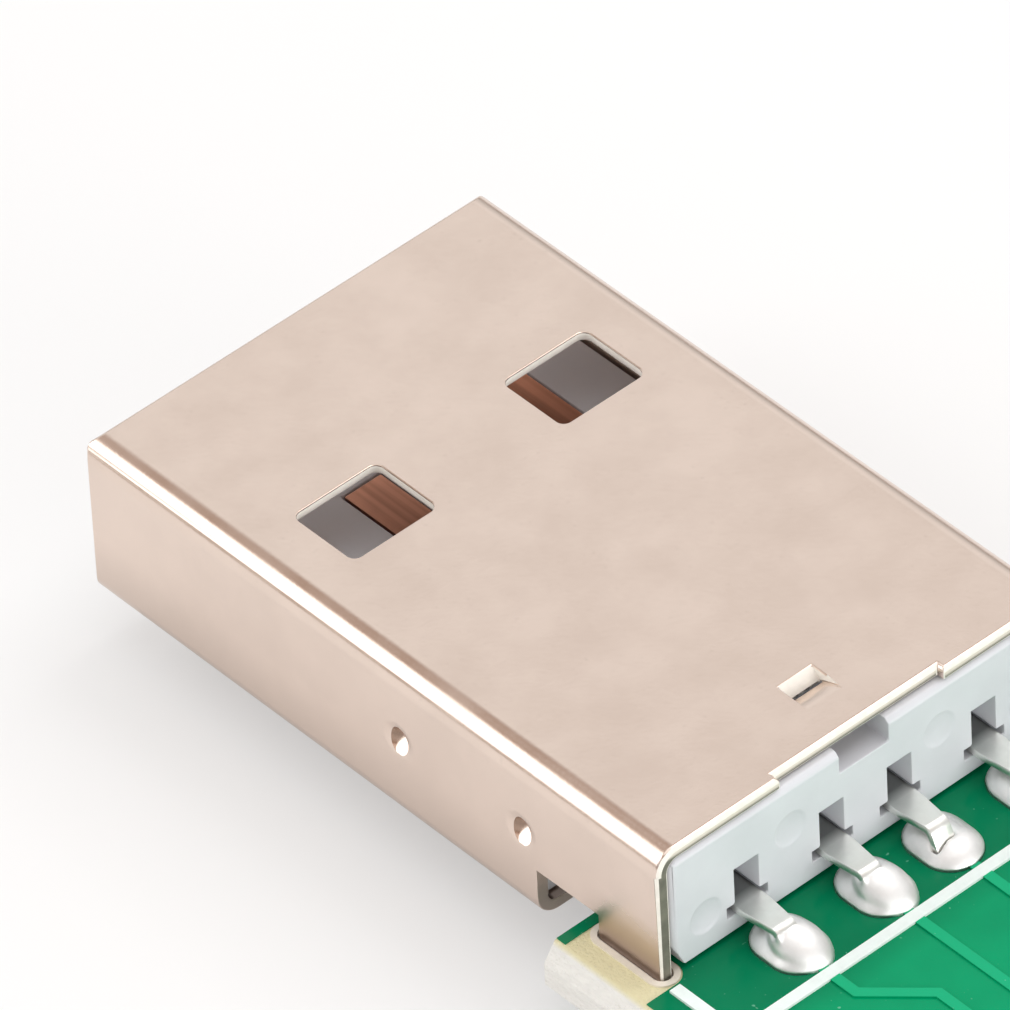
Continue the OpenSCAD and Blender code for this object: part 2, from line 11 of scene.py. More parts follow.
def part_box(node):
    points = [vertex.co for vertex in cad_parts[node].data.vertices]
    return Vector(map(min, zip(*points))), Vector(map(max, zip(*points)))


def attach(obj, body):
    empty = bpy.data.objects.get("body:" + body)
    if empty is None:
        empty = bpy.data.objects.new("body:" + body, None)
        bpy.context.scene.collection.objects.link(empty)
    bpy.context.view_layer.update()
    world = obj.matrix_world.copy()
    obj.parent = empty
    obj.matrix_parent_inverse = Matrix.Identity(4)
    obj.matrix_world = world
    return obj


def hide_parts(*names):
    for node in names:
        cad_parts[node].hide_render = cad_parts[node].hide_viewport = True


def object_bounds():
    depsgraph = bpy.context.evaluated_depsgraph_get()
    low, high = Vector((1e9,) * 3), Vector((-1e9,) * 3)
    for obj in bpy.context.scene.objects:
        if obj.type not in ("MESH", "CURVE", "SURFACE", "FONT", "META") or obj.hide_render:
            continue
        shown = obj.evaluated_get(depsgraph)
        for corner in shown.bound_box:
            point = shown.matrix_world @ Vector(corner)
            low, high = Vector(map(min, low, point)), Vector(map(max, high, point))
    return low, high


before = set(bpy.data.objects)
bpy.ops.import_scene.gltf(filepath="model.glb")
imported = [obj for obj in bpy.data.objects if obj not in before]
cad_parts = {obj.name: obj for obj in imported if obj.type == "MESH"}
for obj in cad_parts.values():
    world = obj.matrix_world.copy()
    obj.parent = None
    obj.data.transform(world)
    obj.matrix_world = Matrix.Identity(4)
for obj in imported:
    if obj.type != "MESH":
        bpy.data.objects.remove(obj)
cad_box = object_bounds()

bl_info = {
    "name": "USB Plug Breakout Board",
    "version": (1, 0, 0),
    "blender": (4, 5, 0),
    "location": "3D View > Sidebar > USB Board",
    "description": "Finishes a USB plug breakout board and sets it on a studio floor",
    "category": "Object",
}

MM = 0.001
LINES = ("supply", "data_minus", "data_plus", "ground")
# Line whose low, plain solder is the base of the joints with a lobe.
PLAIN_LINE = "ground"
SIDES = ("left", "right")
SHELL_LOW, SHELL_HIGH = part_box("plug_shell")
BOARD_LOW, BOARD_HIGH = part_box("printed_board")
MASK_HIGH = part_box("top_solder_mask")[1]
# Thickness of the shell's sheet and outer radius of its folds.
SHEET = 0.3 * MM
FOLD = 0.6 * MM
# Least share of a face's normal along an axis at which the face counts as square to that axis.
SQUARE = 0.999
# Height above the board past which solder has climbed a tail.
CLIMB = 0.6 * MM
# Distance behind the shell at which the solder starts to cover a bent tail.
KNEE = 1.22 * MM
# Lobe of solder on a tail: how far it lies to the right of its pin, behind the shell and above the
# board, its half sizes, and its turn and lean.
LOBE_PLACE = (0.22 * MM, 1.44 * MM, 0.22 * MM)
LOBE_HALF = (0.56 * MM, 0.78 * MM, 0.42 * MM)
LOBE_TURN = math.radians(14)
LOBE_LEAN = math.radians(30)
# Sideways growth of the solder over the gap between its pad and the coating.
SPREAD = 1.08
# Height above the board below which the solder's surface stays as it is when it is smoothed.
SETTLED = 0.04 * MM
# Smoothing passes over the solder of a pin and of a tab.
PIN_PASSES = 20
TAB_PASSES = 12
# Lines through the holes in a solid's flat faces: the axis they are measured along, their places in
# millimetres, and the axis that those faces look along.
HOLE_LINES = {
    "plug_shell": ((1, (0.05, 10.93), 2), (1, (2.84, 6.79), 0)),
    "plug_insulator": ((2, (3.35, 4.27), 1), (2, (3.75,), 0)),
    "printed_board": ((1, (-14.75, -3.0, -0.65), 2),),
}


# Settings

def colour_setting(name, description, default):
    """Colour that a user may change, as linear red, green and blue."""
    return FloatVectorProperty(name=name, description=description, default=default, size=3,
                               min=0, max=1, subtype="COLOR")


def length_setting(name, description, default):
    """Length that a user may change, in metres."""
    return FloatProperty(name=name, description=description, default=default, min=0,
                         precision=6, subtype="DISTANCE", unit="LENGTH")


def share_setting(name, description, default):
    """Share between nothing and all that a user may change."""
    return FloatProperty(name=name, description=description, default=default, min=0, max=1,
                         subtype="FACTOR")


class PlugSettings(bpy.types.PropertyGroup):
    """Finish of the plug: its shell, its insulator and its contacts."""
    plate: colour_setting("Shell Plate", "Colour of the shell's satin plating", (0.80, 0.665, 0.58))
    plate_roughness: share_setting("Plate Roughness", "How far the plating blurs what it mirrors", 0.22)
    sheared: colour_setting("Sheared Edge", "Colour of the sheet's bright cut edges", (0.98, 0.93, 0.85))
    # Painted shade: the cut end's dark colour stands in for the shade and the dark board it mirrors.
    cut: colour_setting("Painted Shade Cut", "Colour of the sheet's dull cut end", (0.20, 0.19, 0.15))
    edge: length_setting("Sheet Edge", "Rounding of the shell's cut edges", 0.035 * MM)
    rolled: length_setting("Rolled Edge", "Rounding of the cut edges that the press rolled over", 0.12 * MM)
    plastic: colour_setting("Insulator", "Colour of the moulded insulator", (0.72, 0.73, 0.77))
    plastic_edge: length_setting("Insulator Edge", "Rounding of the insulator's edges", 0.05 * MM)
    alloy: colour_setting("Contact Alloy", "Colour of the contacts on the tongue", (0.48, 0.26, 0.19))
    tin: colour_setting("Contact Tin", "Colour of the tinned tails", (0.92, 0.92, 0.88))
    contact_edge: length_setting("Contact Edge", "Rounding of the contacts' edges", 0.03 * MM)


class BoardSettings(bpy.types.PropertyGroup):
    """Finish of the board: laminate, coating, print, copper and solder."""
    laminate: colour_setting("Laminate", "Colour of the bare glass fibre edge", (0.80, 0.79, 0.75))
    resin: colour_setting("Resin", "Colour of the bare strip beside the tab slots", (0.78, 0.72, 0.46))
    laminate_edge: length_setting("Laminate Edge", "Rounding of the board's edges", 0.05 * MM)
    mask: colour_setting("Solder Mask", "Colour of the green coating", (0.0, 0.345, 0.145))
    ridge: colour_setting("Coated Trace", "Colour of the coating over a trace", (0.01, 0.43, 0.20))
    ink: colour_setting("Print", "Colour of the printed outline", (0.88, 0.97, 0.94))
    plating: colour_setting("Pad Plating", "Colour of the plated pads and holes", (0.92, 0.85, 0.74))
    ring: colour_setting("Tab Ring", "Colour of the tinned rings round the tabs", (0.88, 0.81, 0.70))
    copper: colour_setting("Copper", "Colour of the traces under the coating", (0.70, 0.36, 0.20))
    solder: colour_setting("Solder", "Colour of the solder joints", (0.98, 0.97, 0.96))
    solder_cell: length_setting("Solder Cell", "Cell size of the solder's flowed surface", 0.03 * MM)


class StudioSettings(bpy.types.PropertyGroup):
    """Floor, light and camera."""
    floor: colour_setting("Floor", "Colour of the floor", (0.88, 0.88, 0.88))
    floor_glow: share_setting("Floor White", "Share of plain white in the floor as the camera sees it", 0.36)
    horizon: FloatProperty(name="Horizon", description="Brightness of the far walls up to mid height",
                           default=1.0, min=0)
    near_wall: FloatProperty(name="Near Wall", description="Brightness of the wall behind the board",
                             default=0.65, min=0)
    low_wall: share_setting("Low Wall", "Brightness of a wall's lower part as a share of its upper part",
                            0.45)
    zenith: FloatProperty(name="Zenith", description="Brightness of the room overhead", default=1.25,
                          min=0)
    joint: colour_setting("Room Joint", "Colour of the dim band between the walls and the ceiling",
                          (0.36, 0.23, 0.16))
    skirting: colour_setting("Skirting", "Colour of the strip at the foot of the walls", (0.42, 0.33, 0.26))
    key: FloatProperty(name="Back Panel", description="Brightness of the panel behind the plug's left side",
                       default=1.5, min=0)
    fill: FloatProperty(name="Right Panel", description="Brightness of the panel high on the right",
                        default=2.0, min=0)
    front: FloatProperty(name="Front Panel", description="Brightness of the low panel behind the board",
                         default=4.7, min=0)
    azimuth: FloatProperty(name="View Azimuth", description="Direction of the camera round the board",
                           default=math.radians(-40.099), subtype="ANGLE", unit="ROTATION")
    elevation: FloatProperty(name="View Elevation", description="Height of the camera above the floor",
                             default=math.radians(42.542), subtype="ANGLE", unit="ROTATION")
    roll: FloatProperty(name="View Roll", description="Turn of the camera about its line of sight",
                        default=math.radians(-3.171), subtype="ANGLE", unit="ROTATION")
    distance: length_setting("View Distance", "Distance of the camera from its aim", 333.115 * MM)
    lens: FloatProperty(name="Focal Length", description="Focal length of the camera in millimetres",
                        default=543.3, min=1, subtype="DISTANCE_CAMERA")


# Shader nodes

def put(tree, target, value):
    """Feeds a socket from another socket, or gives it a fixed value."""
    if isinstance(value, bpy.types.NodeSocket):
        tree.links.new(value, target)
    elif hasattr(target.default_value, "__len__") and len(value) == 3 and len(target.default_value) == 4:
        target.default_value = (*value, 1)
    else:
        target.default_value = value


def add(tree, kind, inputs, **options):
    """New node with its options set and its inputs fed."""
    made = tree.nodes.new(kind)
    for option, value in options.items():
        setattr(made, option, value)
    for name, value in inputs.items():
        put(tree, made.inputs[name], value)
    return made


def mix_colours(tree, factor, first, second):
    """Colour between two others."""
    made = add(tree, "ShaderNodeMix", {0: factor}, data_type="RGBA")
    colours = [socket for socket in made.inputs if socket.type == "RGBA"]
    put(tree, colours[0], first)
    put(tree, colours[1], second)
    return [socket for socket in made.outputs if socket.type == "RGBA"][0]


def remap(tree, value, low, high, to_low=0.0, to_high=1.0):
    """Value carried from one range to another and held inside it."""
    made = add(tree, "ShaderNodeMapRange", {"Value": value, "From Min": low, "From Max": high,
                                            "To Min": to_low, "To Max": to_high})
    return made.outputs["Result"]


def arithmetic(tree, operation, first, second):
    """Sum, product or other combination of two values."""
    return add(tree, "ShaderNodeMath", {0: first, 1: second}, operation=operation).outputs[0]


def place(tree):
    """Position on the part, in metres, with its three parts."""
    coordinates = tree.nodes.new("ShaderNodeTexCoord").outputs["Object"]
    return coordinates, add(tree, "ShaderNodeSeparateXYZ", {"Vector": coordinates}).outputs


def new_group(name, inputs, outputs):
    """Empty shader group, with its entry and exit sockets."""
    tree = bpy.data.node_groups.new(name, "ShaderNodeTree")
    for label, kind, default in inputs:
        socket = tree.interface.new_socket(name=label, in_out="INPUT", socket_type=kind)
        socket.default_value = default
    for label, kind in outputs:
        tree.interface.new_socket(name=label, in_out="OUTPUT", socket_type=kind)
    entry = tree.nodes.new("NodeGroupInput").outputs
    leave = tree.nodes.new("NodeGroupOutput").inputs
    return tree, entry, leave


def noise(tree, coordinates, size, detail):
    """Noise with features of a given size in metres."""
    scale = arithmetic(tree, "DIVIDE", 1.0, size)
    made = add(tree, "ShaderNodeTexNoise", {"Vector": coordinates, "Scale": scale, "Detail": detail})
    return made.outputs["Fac"]


def cloud_group():
    """Soft patches that blend two colours."""
    tree, entry, leave = new_group(
        "Soft Patches",
        [("First", "NodeSocketColor", (1, 1, 1, 1)), ("Second", "NodeSocketColor", (0, 0, 0, 1)),
         ("Patch Size", "NodeSocketFloat", MM)],
        [("Colour", "NodeSocketColor"), ("Patch", "NodeSocketFloat")])
    coordinates, _ = place(tree)
    patch = remap(tree, noise(tree, coordinates, entry["Patch Size"], 4.0), 0.32, 0.68)
    put(tree, leave["Colour"], mix_colours(tree, patch, entry["First"], entry["Second"]))
    put(tree, leave["Patch"], patch)
    return tree


def speck_group():
    """Scattered small spots."""
    tree, entry, leave = new_group(
        "Scattered Specks",
        [("Speck Size", "NodeSocketFloat", 0.1 * MM), ("Bareness", "NodeSocketFloat", 0.7)],
        [("Mask", "NodeSocketFloat")])
    coordinates, _ = place(tree)
    field = noise(tree, coordinates, entry["Speck Size"], 1.0)
    top = arithmetic(tree, "ADD", entry["Bareness"], 0.06)
    put(tree, leave["Mask"], remap(tree, field, entry["Bareness"], top))
    return tree


def grain_group():
    """Fine uneven surface."""
    tree, entry, leave = new_group(
        "Fine Grain",
        [("Grain Size", "NodeSocketFloat", 0.05 * MM), ("Stretch", "NodeSocketVector", (1, 1, 1))],
        [("Height", "NodeSocketFloat")])
    coordinates, _ = place(tree)
    stretched = add(tree, "ShaderNodeVectorMath", {0: coordinates, 1: entry["Stretch"]},
                    operation="MULTIPLY").outputs["Vector"]
    put(tree, leave["Height"], noise(tree, stretched, entry["Grain Size"], 3.0))
    return tree


GROUP_MAKERS = {"Soft Patches": cloud_group, "Scattered Specks": speck_group, "Fine Grain": grain_group}


def effect(tree, name, **inputs):
    """Shared effect placed in a material with its own values."""
    shared = bpy.data.node_groups.get(name) or GROUP_MAKERS[name]()
    made = add(tree, "ShaderNodeGroup", {}, node_tree=shared)
    for label, value in inputs.items():
        put(tree, made.inputs[label.replace("_", " ").title()], value)
    return made.outputs


def new_material(name):
    """Material with one Principled shader; returns it with its tree and shader inputs."""
    material = bpy.data.materials.new(name)
    material.use_nodes = True
    tree = material.node_tree
    return material, tree, tree.nodes["Principled BSDF"].inputs


def bump(tree, inputs, height, depth, strength=1.0):
    """Raises the surface of a shader by a height field of a given depth in metres."""
    made = add(tree, "ShaderNodeBump", {"Height": height, "Distance": depth, "Strength": strength})
    put(tree, inputs["Normal"], made.outputs["Normal"])


def tint(colour, share):
    """Darker or lighter copy of a colour."""
    return tuple(part * share for part in colour)


# Materials

def shell_material(settings):
    """Satin plating, with painted shade that darkens the foot of its sides, and stained brown on the
    soldered tabs.
    """
    material, tree, inputs = new_material("Satin Plating")
    _, (_, along, height) = place(tree)
    plate = tuple(settings.plate)
    patches = effect(tree, "Soft Patches", first=plate, second=tint(plate, 0.955), patch_size=1.6 * MM)
    specks = effect(tree, "Scattered Specks", speck_size=0.1 * MM, bareness=0.68)["Mask"]
    spotted = mix_colours(tree, arithmetic(tree, "MULTIPLY", specks, 0.2), patches["Colour"],
                          tint(plate, 0.75))
    # Painted shade: the plating darkens towards the foot of the sides and the underside, standing in for the
    # shadowed floor they mirror.
    foot = remap(tree, height, SHELL_LOW.z + 3.2 * MM, SHELL_LOW.z + 0.8 * MM, 0, 0.9)
    foot_shaded = mix_colours(tree, foot, spotted, tint(plate, 0.72))
    brown = (0.27, 0.19, 0.145)
    low = remap(tree, height, BOARD_HIGH.z + 1.5 * MM, BOARD_HIGH.z - 0.3 * MM)
    rear = remap(tree, along, SHELL_LOW.y + 2.6 * MM, SHELL_LOW.y + 1.8 * MM)
    stain = arithmetic(tree, "MULTIPLY", arithmetic(tree, "MULTIPLY", low, rear), 0.68)
    put(tree, inputs["Base Color"], mix_colours(tree, stain, foot_shaded, brown))
    put(tree, inputs["Metallic"], 1.0)
    rough = settings.plate_roughness
    plain = remap(tree, patches["Patch"], 0, 1, rough - 0.03, rough + 0.04)
    dulled = arithmetic(tree, "MULTIPLY", stain, 0.35)
    put(tree, inputs["Roughness"], arithmetic(tree, "ADD", plain, dulled))
    grain = effect(tree, "Fine Grain", grain_size=0.09 * MM, stretch=(1, 1, 1))["Height"]
    bump(tree, inputs, grain, 0.004 * MM, 0.35)
    return material


def sheared_material(settings):
    """Bright, slightly uneven metal where the sheet was sheared."""
    material, tree, inputs = new_material("Sheared Sheet Edge")
    bright = tuple(settings.sheared)
    patches = effect(tree, "Soft Patches", first=bright, second=tint(bright, 0.9), patch_size=0.2 * MM)
    put(tree, inputs["Base Color"], patches["Colour"])
    put(tree, inputs["Roughness"], remap(tree, patches["Patch"], 0, 1, 0.4, 0.55))
    return material


def cut_material(settings):
    """End of the sheet in painted shade, a dark colour for the shade and the dark board it mirrors, with a
    painted cream highlight along its top.
    """
    material, tree, inputs = new_material("Sheet End Painted Shade")
    _, (_, _, height) = place(tree)
    end_shade = tuple(settings.cut)
    patches = effect(tree, "Soft Patches", first=end_shade, second=tint(end_shade, 0.7), patch_size=0.3 * MM)
    # Painted highlight: the cut end is cream near the top of the shell and dark below, for how light falls
    # on it.
    painted_highlight_cream = (0.76, 0.68, 0.60)
    top = remap(tree, height, SHELL_HIGH.z - 0.25 * MM, SHELL_HIGH.z - 0.17 * MM)
    put(tree, inputs["Base Color"], mix_colours(tree, top, patches["Colour"], painted_highlight_cream))
    put(tree, inputs["Roughness"], remap(tree, patches["Patch"], 0, 1, 0.5, 0.65))
    return material


def insulator_material(settings):
    """Moulded plastic, painted paler on the tongue to lift the shade inside the shell."""
    material, tree, inputs = new_material("Moulded Insulator")
    _, (_, along, _) = place(tree)
    plastic = tuple(settings.plastic)
    patches = effect(tree, "Soft Patches", first=plastic, second=tint(plastic, 0.95), patch_size=1.2 * MM)
    # Painted light: the tongue, seen in shade through the windows, is made paler.
    painted_tongue_light = remap(tree, along, SHELL_LOW.y + 5 * MM, SHELL_LOW.y + 7 * MM)
    put(tree, inputs["Base Color"], mix_colours(tree, painted_tongue_light, patches["Colour"], tint(plastic, 1.1)))
    put(tree, inputs["Roughness"], remap(tree, patches["Patch"], 0, 1, 0.36, 0.46))
    grain = effect(tree, "Fine Grain", grain_size=0.12 * MM, stretch=(1, 1, 1))["Height"]
    bump(tree, inputs, grain, 0.006 * MM, 0.4)
    return material


def contact_material(settings):
    """Bare wiped alloy on the tongue and tin on the tails, with painted shade where they leave the
    insulator.
    """
    material, tree, inputs = new_material("Tinned Contact Alloy")
    _, (_, along, _) = place(tree)
    alloy = tuple(settings.alloy)
    tin = tuple(settings.tin)
    wiped = effect(tree, "Fine Grain", grain_size=0.25 * MM, stretch=(1, 0.02, 1))["Height"]
    bare = mix_colours(tree, remap(tree, wiped, 0.4, 0.66), tint(alloy, 0.8), tint(alloy, 1.25))
    tinned = effect(tree, "Soft Patches", first=tin, second=tint(tin, 0.92), patch_size=0.35 * MM)
    # Painted shade: the tin darkens where the tails leave the insulator's pockets.
    root = remap(tree, along, SHELL_LOW.y - 0.12 * MM, SHELL_LOW.y + 0.2 * MM)
    shaded = mix_colours(tree, root, tinned["Colour"], tint(tin, 0.3))
    front = remap(tree, along, SHELL_LOW.y + 2 * MM, SHELL_LOW.y + 6 * MM)
    put(tree, inputs["Base Color"], mix_colours(tree, front, shaded, bare))
    put(tree, inputs["Metallic"], 1.0)
    put(tree, inputs["Roughness"], remap(tree, tinned["Patch"], 0, 1, 0.3, 0.42))
    grain = effect(tree, "Fine Grain", grain_size=0.12 * MM, stretch=(1, 0.3, 1))["Height"]
    bump(tree, inputs, grain, 0.003 * MM, 0.3)
    return material


def laminate_material(settings):
    """Glass fibre in layers, with yellow resin on its bare rims and green round the pads."""
    material, tree, inputs = new_material("Glass Fibre Laminate")
    core = tuple(settings.laminate)
    _, (across, along, height) = place(tree)
    aside = arithmetic(tree, "ABSOLUTE", across, 0.0)
    strip = remap(tree, aside, SHELL_HIGH.x - 1.2 * MM, SHELL_HIGH.x - MM)
    rim = remap(tree, along, BOARD_LOW.y + 0.4 * MM, BOARD_LOW.y + 0.2 * MM)
    yellow = arithmetic(tree, "MAXIMUM", strip, rim)
    deep_green = (0.02, 0.16, 0.09)
    bare = mix_colours(tree, yellow, deep_green, tuple(settings.resin))
    flat = remap(tree, height, BOARD_HIGH.z - 0.12 * MM, BOARD_HIGH.z - 0.02 * MM)
    layers = effect(tree, "Fine Grain", grain_size=0.45 * MM, stretch=(1, 1, 5))["Height"]
    fibres = effect(tree, "Fine Grain", grain_size=0.07 * MM, stretch=(1, 1, 2))["Height"]
    layered = mix_colours(tree, remap(tree, layers, 0.35, 0.65), core, tint(core, 1.08))
    layered = mix_colours(tree, flat, layered, bare)
    pits = remap(tree, fibres, 0.62, 0.74, 0, 0.3)
    pit_colour = (0.5, 0.47, 0.38)
    put(tree, inputs["Base Color"], mix_colours(tree, pits, layered, pit_colour))
    put(tree, inputs["Roughness"], remap(tree, fibres, 0.3, 0.7, 0.6, 0.85))
    bump(tree, inputs, arithmetic(tree, "ADD", layers, fibres), 0.05 * MM, 0.8)
    return material


def mask_material(settings):
    """Glossy green coating with a painted shadow of the plug behind it, paler over the traces and a little
    dusty.
    """
    material, tree, inputs = new_material("Green Solder Mask")
    _, (_, along, height) = place(tree)
    coat = tuple(settings.mask)
    # Painted shadow: the coating darkens in a band behind the plug, where the plug's shadow falls.
    painted_plug_shadow = remap(tree, along, SHELL_LOW.y - 3.2 * MM, SHELL_LOW.y - 2 * MM, 0, 0.75)
    patches = effect(tree, "Soft Patches", first=coat, second=tint(coat, 0.86), patch_size=2.2 * MM)
    plug_shadow_painted = mix_colours(tree, painted_plug_shadow, patches["Colour"], tint(coat, 0.46))
    raised = remap(tree, height, MASK_HIGH.z - 0.035 * MM, MASK_HIGH.z - 0.008 * MM)
    over = mix_colours(tree, raised, plug_shadow_painted, tuple(settings.ridge))
    dust = effect(tree, "Scattered Specks", speck_size=0.14 * MM, bareness=0.76)["Mask"]
    dust = arithmetic(tree, "MULTIPLY", dust, 0.5)
    dust_colour = (0.25, 0.62, 0.45)
    put(tree, inputs["Base Color"], mix_colours(tree, dust, over, dust_colour))
    put(tree, inputs["Roughness"], remap(tree, patches["Patch"], 0, 1, 0.14, 0.24))
    put(tree, inputs["Specular IOR Level"], 0.12)
    grain = effect(tree, "Fine Grain", grain_size=0.5 * MM, stretch=(1, 1, 1))["Height"]
    bump(tree, inputs, grain, 0.02 * MM, 0.3)
    return material


def print_material(settings):
    """White ink, slightly thin in places."""
    material, tree, inputs = new_material("White Print Ink")
    ink = tuple(settings.ink)
    patches = effect(tree, "Soft Patches", first=ink, second=tint(ink, 0.93), patch_size=0.3 * MM)
    put(tree, inputs["Base Color"], patches["Colour"])
    put(tree, inputs["Roughness"], remap(tree, patches["Patch"], 0, 1, 0.4, 0.55))
    return material


def ring_material(settings):
    """Frosted tin on the rings round the tabs."""
    material, tree, inputs = new_material("Frosted Tab Ring")
    ring = tuple(settings.ring)
    patches = effect(tree, "Soft Patches", first=ring, second=tint(ring, 0.9), patch_size=0.25 * MM)
    put(tree, inputs["Base Color"], patches["Colour"])
    put(tree, inputs["Roughness"], remap(tree, patches["Patch"], 0, 1, 0.25, 0.4))
    return material


def metal_material(name, colour, roughness, patch_size, grain_size, depth):
    """Bright or dull metal with a slightly uneven skin."""
    material, tree, inputs = new_material(name)
    patches = effect(tree, "Soft Patches", first=colour, second=tint(colour, 0.88), patch_size=patch_size)
    put(tree, inputs["Base Color"], patches["Colour"])
    put(tree, inputs["Metallic"], 1.0)
    put(tree, inputs["Roughness"], remap(tree, patches["Patch"], 0, 1, roughness, roughness + 0.1))
    grain = effect(tree, "Fine Grain", grain_size=grain_size, stretch=(1, 1, 1))["Height"]
    bump(tree, inputs, grain, depth, 0.5)
    return material


# Pieces

def box_middle(node):
    """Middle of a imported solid's box."""
    return sum(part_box(node), Vector()) / 2


def edge_middle(edge):
    """Middle of an edge."""
    return (edge.verts[0].co + edge.verts[1].co) / 2


def merged_copy(node):
    """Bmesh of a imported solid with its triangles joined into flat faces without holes."""
    shape = bmesh.new()
    shape.from_mesh(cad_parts[node].data)
    bmesh.ops.remove_doubles(shape, verts=shape.verts, dist=0.0005 * MM)
    for axis, spots, facing in HOLE_LINES.get(node, ()):
        direction = Vector((0, 0, 0))
        direction[axis] = 1
        for spot in spots:
            flat = [face for face in shape.faces if abs(face.normal[facing]) > SQUARE]
            edges = {edge for face in flat for edge in face.edges}
            corners = {corner for face in flat for corner in face.verts}
            cut = bmesh.ops.bisect_plane(shape, geom=[*corners, *edges, *flat],
                                         plane_co=direction * spot * MM, plane_no=direction)
            for part in cut["geom_cut"]:
                if isinstance(part, bmesh.types.BMEdge):
                    part.seam = True
    bmesh.ops.dissolve_limit(shape, angle_limit=math.radians(0.6), verts=shape.verts, edges=shape.edges,
                             delimit={"NORMAL", "SEAM"})
    return shape


def sharp_edges(shape, least=35.0):
    """Edges between two faces that meet at more than a given number of degrees."""
    limit = math.radians(least)
    return [edge for edge in shape.edges if len(edge.link_faces) == 2 and edge.calc_face_angle() > limit]


def soften(shape, edges, width, segments):
    """Rounds edges over a given width."""
    bmesh.ops.bevel(shape, geom=edges, offset=width, offset_type="OFFSET", affect="EDGES",
                    segments=segments, profile=0.5, material=-1, clamp_overlap=False, loop_slide=True)


def add_tail(shape, line):
    """Adds the bent tail of a contact, above the board, to the solder that covers it."""
    tail = merged_copy("contact_" + line)
    for spot, direction in ((Vector((0, SHELL_LOW.y - KNEE, 0)), Vector((0, 1, 0))),
                            (Vector((0, 0, BOARD_HIGH.z)), Vector((0, 0, -1)))):
        whole = [*tail.verts, *tail.edges, *tail.faces]
        bmesh.ops.bisect_plane(tail, geom=whole, plane_co=spot, plane_no=direction, clear_outer=True)
        bmesh.ops.holes_fill(tail, edges=[edge for edge in tail.edges if edge.is_boundary])
    mesh = bpy.data.meshes.new("tail")
    tail.to_mesh(mesh)
    tail.free()
    shape.from_mesh(mesh)
    bpy.data.meshes.remove(mesh)


def pin_joint(line):
    """Solder of one pin, with what has climbed its tail as a rounded lobe."""
    node = "pin_solder_" + line
    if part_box(node)[1].z < BOARD_HIGH.z + CLIMB:
        return merged_copy(node)
    shape = merged_copy("pin_solder_" + PLAIN_LINE)
    pin = box_middle("contact_" + line)
    plain = box_middle("contact_" + PLAIN_LINE)
    bmesh.ops.translate(shape, vec=(pin.x - plain.x, 0, 0), verts=shape.verts)
    add_tail(shape, line)
    aside, behind, above = LOBE_PLACE
    spot = Vector((pin.x + aside, SHELL_LOW.y - behind, BOARD_HIGH.z + above))
    turned = Matrix.Rotation(LOBE_TURN, 4, "Z") @ Matrix.Rotation(LOBE_LEAN, 4, "X")
    lobe = Matrix.Translation(spot) @ turned @ Matrix.Diagonal((*LOBE_HALF, 1))
    bmesh.ops.create_icosphere(shape, subdivisions=4, radius=1, matrix=lobe)
    return shape


def flowed(shape, cell, passes):
    """Solid whose creases have run together above its pad, as those of molten metal do."""
    bmesh.ops.scale(shape, vec=Vector((1, 1, 1)) / MM, verts=shape.verts)
    mesh = bpy.data.meshes.new("melt")
    shape.to_mesh(mesh)
    shape.free()
    melt = bpy.data.objects.new("melt", mesh)
    bpy.context.scene.collection.objects.link(melt)
    cells = melt.modifiers.new("Cells", "REMESH")
    cells.mode = "VOXEL"
    cells.voxel_size = cell / MM
    made = bmesh.new()
    made.from_object(melt, bpy.context.evaluated_depsgraph_get())
    bmesh.ops.scale(made, vec=Vector((1, 1, 1)) * MM, verts=made.verts)
    middle = (BOARD_LOW.z + BOARD_HIGH.z) / 2
    settled = BOARD_HIGH.z - middle + SETTLED
    free = [vertex for vertex in made.verts if abs(vertex.co.z - middle) > settled]
    for _ in range(passes):
        bmesh.ops.smooth_vert(made, verts=free, factor=0.5,
                              use_axis_x=True, use_axis_y=True, use_axis_z=True)
    bpy.data.objects.remove(melt)
    bpy.data.meshes.remove(mesh)
    return made


def finish_piece(shape, name, material, nodes, still_sharp=30.0):
    """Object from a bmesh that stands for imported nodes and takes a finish."""
    limit = math.radians(still_sharp)
    for face in shape.faces:
        face.smooth = True
    for edge in shape.edges:
        edge.smooth = len(edge.link_faces) == 2 and edge.calc_face_angle() < limit
    mesh = bpy.data.meshes.new(name)
    shape.to_mesh(mesh)
    shape.free()
    mesh.materials.append(material)
    piece = bpy.data.objects.new(name, mesh)
    bpy.context.scene.collection.objects.link(piece)
    weighted = piece.modifiers.new("Even Shading", "WEIGHTED_NORMAL")
    weighted.keep_sharp = True
    weighted.weight = 60
    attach(piece, "root")
    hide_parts(*nodes)
    return piece


def dress(node, material):
    """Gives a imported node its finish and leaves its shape."""
    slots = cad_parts[node].data.materials
    slots.clear()
    slots.append(material)


def is_pressed(edge):
    """Whether an edge of the shell belongs to a dimple in its side."""
    middle = edge_middle(edge)
    on_side = abs(middle.x) > SHELL_HIGH.x - FOLD
    from_rear = middle.y - SHELL_LOW.y
    depth = SHELL_HIGH.z - middle.z
    return on_side and 3.5 * MM < from_rear < 10 * MM and 0.9 * MM < depth < 3.5 * MM


